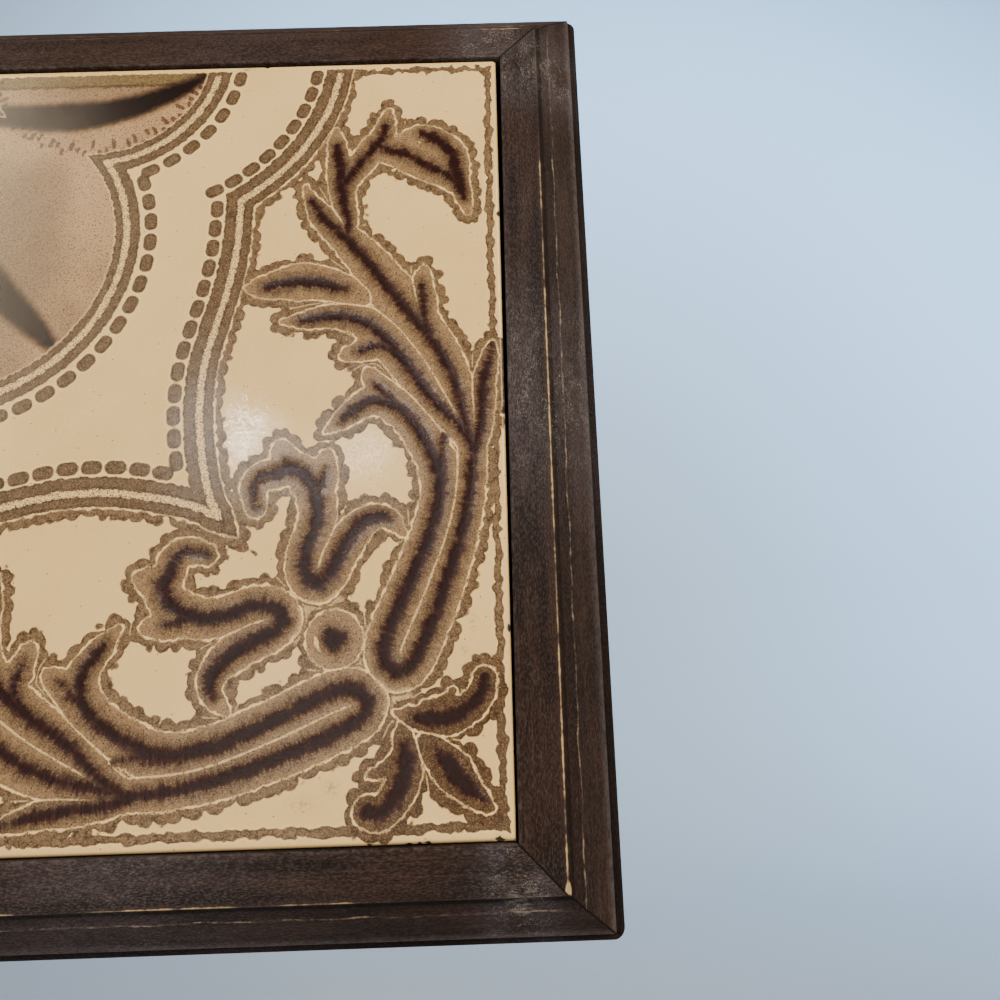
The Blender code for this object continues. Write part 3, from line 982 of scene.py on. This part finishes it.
def rail_section():
    """The rail's closed outline as in the frame, with more points and softened arrises."""
    top = FRAME_DEPTH - BAND_FALL
    foot = (BAND_WIDTH + QUIRK_WIDTH, top - QUIRK_DEPTH)
    arris = (foot[0] + HOLLOW_WIDTH, foot[1] - HOLLOW_FALL)
    nose = arc((NOSE_OUT - NOSE_ROUND, LIP_THICKNESS + NOSE_HEIGHT), NOSE_ROUND, 0, 60)
    ridge = arc((BAND_WIDTH - RIDGE_ROUND, top - RIDGE_ROUND), RIDGE_ROUND, 10, 90, 4)
    band_start = (BAND_EDGE_ROUND, FRAME_DEPTH)
    points = [(-LEDGE_REACH, 0.0)]
    points += straight((-LEDGE_REACH, 0.0), (LIP_OUT, 0.0), 8)
    points += [(LIP_OUT, 0.0)]
    points += straight((LIP_OUT, 0.0), (LIP_OUT, LIP_THICKNESS - LIP_EDGE_ROUND), 3)
    points += arc((LIP_OUT - LIP_EDGE_ROUND, LIP_THICKNESS - LIP_EDGE_ROUND), LIP_EDGE_ROUND, 0, 90)
    points += [(NOSE_OUT + 0.0002, LIP_THICKNESS), (NOSE_OUT, LIP_THICKNESS + 0.0002)]
    points += nose
    points += straight(nose[-1], arris, 8, sag=0.00008)
    points += [(arris[0] + 0.0001, arris[1] - 0.00005), (arris[0] - 0.0001, arris[1] + 0.00002)]
    points += straight(arris, foot, 7, sag=HOLLOW_SAG)
    points += [foot]
    points += ridge
    points += straight(ridge[-1], band_start, 12)
    points += arc((BAND_EDGE_ROUND, FRAME_DEPTH - BAND_EDGE_ROUND), BAND_EDGE_ROUND, 90, 180)
    points += straight((0.0, FRAME_DEPTH - BAND_EDGE_ROUND), (0.0, LEDGE_THICKNESS), 5)
    points += [(0.0, LEDGE_THICKNESS), (-LEDGE_REACH, LEDGE_THICKNESS)]
    return points


def rail_stations(inner_length):
    """Shares of the way from the middle to a corner's start, then steps round the corner."""
    count = max(4, round(inner_length / RAIL_STEP / 2))
    straight_part = [(k / count, 0.0) for k in range(count + 1)]
    corner_part = [(1.0, (k + 1) / CORNER_STEPS) for k in range(CORNER_STEPS)]
    half = straight_part + corner_part
    return [(-share, turn) for share, turn in reversed(half[1:])], half


def rail_place(inner_length, out, share, turn):
    """Distance out and along for a line of the section at one station, with its mitre cut."""
    radius = max(0.0, CORNER_ROUND - (LIP_OUT - out))
    begin = inner_length / 2 + out - CORNER_ROUND - GAP_MITRE / math.sqrt(2)
    plain = CORNER_ROUND - radius
    run = turn * (plain + radius * math.pi / 4)
    if run <= plain or radius == 0.0:
        return out, begin * abs(share) + run
    angle = (run - plain) / radius
    return out - radius * (1 - math.cos(angle)), begin + plain + radius * math.sin(angle)


# Wear on the ridge of each rail: (middle along the rail in millimetres, reach, strength). Along
# runs to the right on the top rail, down the right one, and so on round the frame.
WEAR = {
    "rail_right": ((2, 48, 1.0), (62, 18, 0.8), (84, 12, 1.0), (104, 8, 0.8), (110.0, 4.0, 1.5),
                   (-60, 12, 0.7), (-98, 8, 0.3)),
    "rail_top": ((102, 7, 1.0), (60, 25, 0.25), (-15, 30, 0.35), (-70, 22, 0.4)),
    "rail_left": ((60, 30, 0.7), (-10, 20, 0.5), (-70, 25, 0.8)),
    "rail_bottom": ((-104, 6, 0.5), (-60, 14, 0.6), (-28, 15, 1.0), (10, 10, 0.9), (66, 26, 0.7)),
}
DUST = {
    "rail_right": ((-98, 13, 1.0), (-50, 22, 0.2), (-2, 32, 0.8)),
    "rail_top": ((98, 12, 0.9), (30, 30, 0.25), (-60, 30, 0.3)),
    "rail_left": ((40, 40, 0.5), (-60, 30, 0.4)),
    "rail_bottom": ((-101, 8, 1.1), (-16, 36, 0.55), (70, 30, 0.4)),
}


def patches(along, rows):
    """The strongest of some soft patches at a place along a rail."""
    return max(strength * math.exp(-((along - middle) / reach) ** 2) for middle, reach, strength in rows)


def make_rail(name, inner_length, outward, distance, wood):
    section = rail_section()
    before, after = rail_stations(inner_length)
    off_wall = Vector((0, -1, 0))
    direction = outward.cross(off_wall)
    centre = OPENING_CENTRE + outward * distance
    points = []
    numbers = {"along": [], "out": [], "up": [], "wear": [], "dust": [], "mitre": []}
    seed = len(name) * 7.3
    for sign, stations in ((-1.0, before), (1.0, after)):
        for share, turn in stations:
            for out, up in section:
                placed, run = rail_place(inner_length, out, share, turn)
                along = sign * run
                worn = patches(along / MM, WEAR[name])
                spot = Vector((along / MM * 0.25, out / MM * 0.6, seed))
                ripple = noise.noise(spot) * 0.00005
                mitre = (inner_length / 2 + placed - run) / math.sqrt(2) / MM
                nick = max(0.0, noise.noise(spot * 2.3) - 0.25) * 0.0004 * min(1.0, mitre / 3)
                ridge = math.exp(-((out - BAND_WIDTH) / 0.0005) ** 2)
                low = up - ridge * worn * (0.00012 + 0.7 * nick) if up > LEDGE_THICKNESS else up
                if up > LEDGE_THICKNESS + 0.0002:
                    low += ripple - 0.00005
                nosing = math.exp(-((out - NOSE_OUT) / 0.0006) ** 2)
                placed -= nosing * 0.35 * nick
                points.append(centre + outward * placed + off_wall * low + direction * along)
                for key, value in zip(numbers, (along / MM, out / MM, up / MM, worn,
                                                patches(along / MM, DUST[name]), mitre)):
                    numbers[key].append(value)
    size = len(section)
    rows = len(before) + len(after)
    faces = []
    for row in range(rows - 1):
        for k in range(size):
            following = (k + 1) % size
            faces.append((row * size + k, row * size + following,
                          (row + 1) * size + following, (row + 1) * size + k))
    faces.append(tuple(reversed(range(size))))
    faces.append(tuple((rows - 1) * size + k for k in range(size)))
    rail = new_piece("worn_" + name, points, faces, (wood,), (name,))
    tidy = bmesh.new()
    tidy.from_mesh(rail.data)
    caps = [face for face in tidy.faces if len(face.verts) > 4]
    bmesh.ops.triangulate(tidy, faces=caps)
    bmesh.ops.recalc_face_normals(tidy, faces=tidy.faces)
    tidy.to_mesh(rail.data)
    tidy.free()
    add_numbers(rail.data, numbers)
    rail.data.shade_smooth()
    rail.data.set_sharp_from_angle(angle=math.radians(38))
    return rail


WOOD_DARK = linear(34, 28, 29)
WOOD_BROWN = linear(62, 46, 40)
WOOD_RED = linear(50, 36, 34)
WOOD_LIGHT = linear(84, 69, 59)
WOOD_BARE = linear(202, 178, 140)
WOOD_GREY = linear(92, 87, 90)
WOOD_HAZE = linear(72, 69, 78)
WOOD_BLACK = linear(17, 13, 13)
DUST_GREY = linear(136, 134, 136)
RUBBED = linear(150, 134, 120)
RAW_LIGHT = linear(150, 122, 88)
RAW_BROWN = linear(114, 90, 66)
RAW_DARK = linear(80, 64, 50)


def stained_wood(name, warmth):
    """Dark stain over open-pored wood, worn through on the ridge, with painted shade in the quirk, in the
    hollow and on the outer slope, and a painted grey sheen along the nosing. Warmth is a share of brown.
    """
    draw = Shading(name)
    along, out, up = (draw.attribute(n) for n in ("along", "out", "up"))

    def stretched(lengthwise, across):
        return draw.vector(draw.times(along, lengthwise), draw.times(out, across),
                           draw.times(up, across))

    fibre = draw.noise(stretched(0.28, 1.7), 0.8, 4.0, 0.65)
    broad = draw.noise(stretched(0.04, 0.25), 1.0, 3.0)
    pores = draw.noise(stretched(0.15, 1.6), 0.28, 2.0, 0.6)
    streaks = draw.noise(stretched(0.05, 2.2), 1.0, 3.0, 0.6)
    rough = draw.noise(stretched(1.0, 1.0), 1.6, 3.0, 0.7)
    grit = draw.noise(stretched(0.38, 1.0), 0.3, 2.0, 0.6)
    brown = draw.mix(draw.ramp(fibre, 0.35, 0.65), WOOD_RED, WOOD_BROWN)
    share = draw.math("ADD", draw.ramp(broad, 0.35, 0.65, 0.0, 0.7), warmth)
    colour = draw.mix(share, WOOD_DARK, brown)
    colour = draw.mix(draw.times(draw.below(pores, 0.42, 0.1), 0.5), colour, WOOD_BLACK)
    colour = draw.mix(draw.times(draw.ramp(streaks, 0.54, 0.72), 0.25), colour, WOOD_LIGHT)
    haze = draw.times(draw.math("MINIMUM", draw.attribute("dust"), 0.7),
                      draw.ramp(broad, 0.3, 0.6, 0.3, 0.8),
                      draw.ramp(draw.attribute("dust"), 0.85, 1.05, 1.0, 0.35))
    colour = draw.mix(haze, colour, WOOD_HAZE)
    gritty = draw.ramp(draw.attribute("dust"), 0.0, 0.8, 0.22, 0.5)
    colour = draw.mix(draw.times(draw.ramp(grit, 0.5, 0.66), gritty), colour, WOOD_GREY)
    colour = draw.mix(draw.times(draw.below(grit, 0.45, 0.12), 0.4), colour, WOOD_BLACK)

    slope = draw.between(out, 13.9, 18.6, 0.8)
    # Painted shade: the outer slope is darkened a quarter of the way to the dark stain.
    colour = draw.mix(draw.times(slope, 0.25), colour, WOOD_DARK)
    worn_slope = draw.times(slope, draw.ramp(fibre, 0.4, 0.65, 0.0, 0.16))
    colour = draw.mix(worn_slope, colour, WOOD_LIGHT)
    # Painted shade: the hollow beyond the ridge is darkened a third of the way to the dark stain.
    hollow = draw.between(out, 10.4, 13.4, 0.5)
    colour = draw.mix(draw.times(hollow, 0.35), colour, WOOD_DARK)
    # Painted shadow: the quirk below the ridge is darkened most of the way to black.
    quirk_shadow = draw.between(out, 10.3, 11.4, 0.4)
    colour = draw.mix(draw.times(quirk_shadow, 0.7), colour, WOOD_BLACK)

    wear = draw.attribute("wear")
    patchy = draw.noise(stretched(0.18, 0.0), 1.0, 3.0, 0.6)
    bared = draw.math("MULTIPLY", wear, draw.ramp(patchy, 0.3, 0.62, 0.25, 1.0))
    ridge_gap = draw.math("ABSOLUTE", draw.math("SUBTRACT", out, 10.05))
    ridge_edge = draw.total(ridge_gap, draw.swing(rough, 0.3), draw.times(bared, -0.12))
    ridge_edge = draw.total(ridge_edge, draw.ramp(wear, 1.0, 1.8, 0.0, -0.7))
    ridge = draw.ramp(ridge_edge, -0.05, 0.2, 1.0, 0.0)
    ridge_tone = draw.mix(draw.ramp(bared, 0.2, 0.7), WOOD_GREY, WOOD_BARE)
    colour = draw.mix(draw.times(ridge, draw.ramp(bared, 0.05, 0.6, 0.15, 0.95)), colour, ridge_tone)
    halo = draw.times(draw.ramp(draw.total(ridge_gap, draw.swing(rough, 0.9)), 0.0, 1.3, 1.0, 0.0),
                      bared, 0.35)
    colour = draw.mix(halo, colour, WOOD_LIGHT)
    wander = draw.swing(draw.noise(stretched(0.07, 0.0), 1.0, 2.0), 0.9)
    second_gap = draw.math("ABSOLUTE", draw.total(out, -13.8, wander))
    second = draw.ramp(draw.total(second_gap, draw.swing(rough, 0.4)), -0.05, 0.22, 1.0, 0.0)
    broken = draw.ramp(draw.noise(stretched(0.11, 0.0), 1.0, 3.0, 0.7), 0.42, 0.6, 0.1, 0.9)
    colour = draw.mix(draw.times(second, broken, draw.ramp(wear, 0.0, 0.6, 0.3, 0.8)), colour, RUBBED)
    scuffed = draw.times(draw.between(out, 8.0, 14.5, 2.0), draw.ramp(draw.attribute("dust"), 0.85, 1.25),
                         draw.ramp(draw.noise(stretched(0.3, 1.2), 1.0, 3.0, 0.7), 0.42, 0.62, 0.0, 0.6))
    colour = draw.mix(scuffed, colour, DUST_GREY)

    # Painted sheen: a soft grey highlight along the rounded nosing.
    nosing = draw.times(draw.ramp(out, 18.4, 20.2), draw.above(up, 5.0, 0.6))
    nosing_sheen = draw.times(nosing, draw.ramp(rough, 0.3, 0.65, 0.15, 0.5))
    colour = draw.mix(nosing_sheen, colour, WOOD_GREY)
    # The lip's top, below the nosing, is darkened more than halfway to black.
    lip = draw.times(draw.above(out, 20.45, 0.2), draw.above(up, 0.4, 0.3))
    colour = draw.mix(draw.times(lip, 0.55), colour, WOOD_BLACK)
    scratch = draw.noise(stretched(0.4, 2.6), 2.0, 4.0, 0.8)
    colour = draw.mix(draw.times(draw.above(scratch, 0.68, 0.04), 0.4), colour, WOOD_GREY)

    specks = draw.times(draw.above(draw.noise(stretched(1.0, 1.0), 0.36, 3.0, 0.75), 0.58, 0.08),
                        draw.ramp(draw.noise(stretched(0.5, 0.8), 2.4, 3.0, 0.7), 0.46, 0.6))
    front = draw.above(up, 4.5, 0.5)
    dust = draw.times(draw.ramp(draw.attribute("dust"), 0.3, 1.0), specks, front, 0.75)
    colour = draw.mix(dust, colour, DUST_GREY)
    inner_edge = draw.times(draw.between(out, -0.2, 0.7, 0.6), draw.ramp(rough, 0.45, 0.7), front, 0.45)
    colour = draw.mix(inner_edge, colour, WOOD_GREY)
    raw = draw.mix(draw.ramp(fibre, 0.35, 0.65), RAW_BROWN, RAW_LIGHT)
    raw = draw.mix(draw.ramp(broad, 0.4, 0.7, 0.0, 0.6), raw, RAW_DARK)
    colour = draw.mix(draw.below(up, 0.1, 0.1), colour, raw)
    seam = draw.below(draw.total(draw.attribute("mitre"), draw.swing(rough, 0.12)), 0.2, 0.2)
    colour = draw.mix(draw.times(seam, 0.9), colour, WOOD_BLACK)

    height = draw.total(draw.times(fibre, 0.5), draw.times(pores, 0.6), draw.times(rough, 0.3))
    normal = draw.bump(height, 0.00022, 0.55)
    roughness = draw.ramp(draw.total(rough, dust), 0.3, 0.9, 0.62, 0.82)
    return draw.surface(colour, roughness, normal, Specular_IOR_Level=0.06)


def make_frame():
    warm = stained_wood("stained_wood_brown", 0.4)
    dark = stained_wood("stained_wood_dark", 0.02)
    width = 2 * OPENING_RIGHT
    height = OPENING_TOP - OPENING_BOTTOM
    rails = (
        ("rail_top", width, Vector((0, 0, 1)), height / 2, warm),
        ("rail_bottom", width, Vector((0, 0, -1)), height / 2, dark),
        ("rail_left", height, Vector((-1, 0, 0)), width / 2, dark),
        ("rail_right", height, Vector((1, 0, 0)), width / 2, dark),
    )
    for name, inner_length, outward, distance, wood in rails:
        make_rail(name, inner_length, outward, distance, wood)


# Stage and camera
FLOOR_Z = -0.45
WALL_Y = 0.95
SWEEP_ROUND = 0.35
STAGE_HALF_WIDTH = 2.6
STAGE_FRONT_Y = -1.3
STAGE_TOP_Z = 2.4
CAMERA_PLACE = (0.1051, -0.16597, -0.1662)
CAMERA_TILT = 13.441
CAMERA_ROLL = 1.806
CAMERA_LENS = 23.64
CAMERA_SHIFT = (-0.0327, -0.0231)
PAPER = linear(180, 184, 188)
WARM_LIGHT = (1.0, 0.82, 0.58)
SKY_LIGHT = (0.28, 0.61, 1.0)
WHITE_LIGHT = (1.0, 0.98, 0.95)


def make_stage():
    """A pale floor that sweeps up into a pale backdrop."""
    profile = [(STAGE_FRONT_Y, FLOOR_Z)]
    for y, z in arc((WALL_Y - SWEEP_ROUND, FLOOR_Z + SWEEP_ROUND), SWEEP_ROUND, 270, 360, 16):
        profile.append((y, z))
    profile.append((WALL_Y, STAGE_TOP_Z))
    points = [(x, y, z) for x in (-STAGE_HALF_WIDTH, STAGE_HALF_WIDTH) for y, z in profile]
    count = len(profile)
    faces = [(k, count + k, count + k + 1, k + 1) for k in range(count - 1)]
    mesh = bpy.data.meshes.new("pale_sweep")
    mesh.from_pydata(points, [], faces)
    mesh.shade_smooth()
    sweep = bpy.data.objects.new("pale_sweep", mesh)
    bpy.context.scene.collection.objects.link(sweep)
    draw = Shading("pale_paper")
    mesh.materials.append(draw.surface(PAPER, 0.9))


def add_light(name, place, target, size, power, colour):
    data = bpy.data.lights.new(name, "AREA")
    data.shape = "RECTANGLE"
    data.size, data.size_y = size
    data.energy = power
    data.color = colour
    light = bpy.data.objects.new(name, data)
    light.location = place
    light.rotation_mode = "QUATERNION"
    light.rotation_quaternion = (Vector(target) - Vector(place)).to_track_quat("-Z", "Y")
    bpy.context.scene.collection.objects.link(light)


def make_lights():
    middle = tuple((CAD_LOW + CAD_HIGH) / 2)
    add_light("key", (0.75, -0.78, 0.38), middle, (0.6, 0.6), 19.2, WARM_LIGHT)
    add_light("fill", (-1.45, -0.95, 0.75), middle, (1.0, 1.0), 22.5, WARM_LIGHT)
    add_light("low_sheen", (-0.43, -1.4, -0.30), middle, (0.46, 0.30), 1.0, WHITE_LIGHT)
    add_light("window_left", (-0.505, -1.213, 0.261), (0.037, FACE_Y, -0.115), (0.062, 0.105), 1.7,
              WHITE_LIGHT)
    add_light("window_right", (-0.243, -1.213, 0.225), (0.066, FACE_Y, -0.122), (0.105, 0.095), 0.8,
              WHITE_LIGHT)
    add_light("sky_top", (0.1, 0.2, 0.95), (0.1, WALL_Y, 0.95), (1.8, 0.5), 36, SKY_LIGHT)
    add_light("sky_right", (1.2, 0.2, 0.25), (1.2, WALL_Y, 0.25), (0.6, 1.2), 30, SKY_LIGHT)
    world = bpy.data.worlds.new("soft_room")
    world.use_nodes = True
    background = world.node_tree.nodes["Background"]
    background.inputs["Color"].default_value = (*linear(236, 231, 222), 1.0)
    background.inputs["Strength"].default_value = 0.16
    bpy.context.scene.world = world


def make_camera():
    data = bpy.data.cameras.new("camera")
    data.lens = CAMERA_LENS
    data.sensor_width = 36.0
    data.shift_x, data.shift_y = CAMERA_SHIFT
    data.clip_start = 0.01
    camera = bpy.data.objects.new("camera", data)
    roll = Matrix.Rotation(math.radians(CAMERA_ROLL), 4, "Y")
    tilt = Matrix.Rotation(math.radians(90 + CAMERA_TILT), 4, "X")
    camera.matrix_world = Matrix.Translation(CAMERA_PLACE) @ roll @ tilt
    bpy.context.scene.collection.objects.link(camera)
    bpy.context.scene.camera = camera


make_tile()
make_frame()
make_stage()
make_lights()
make_camera()
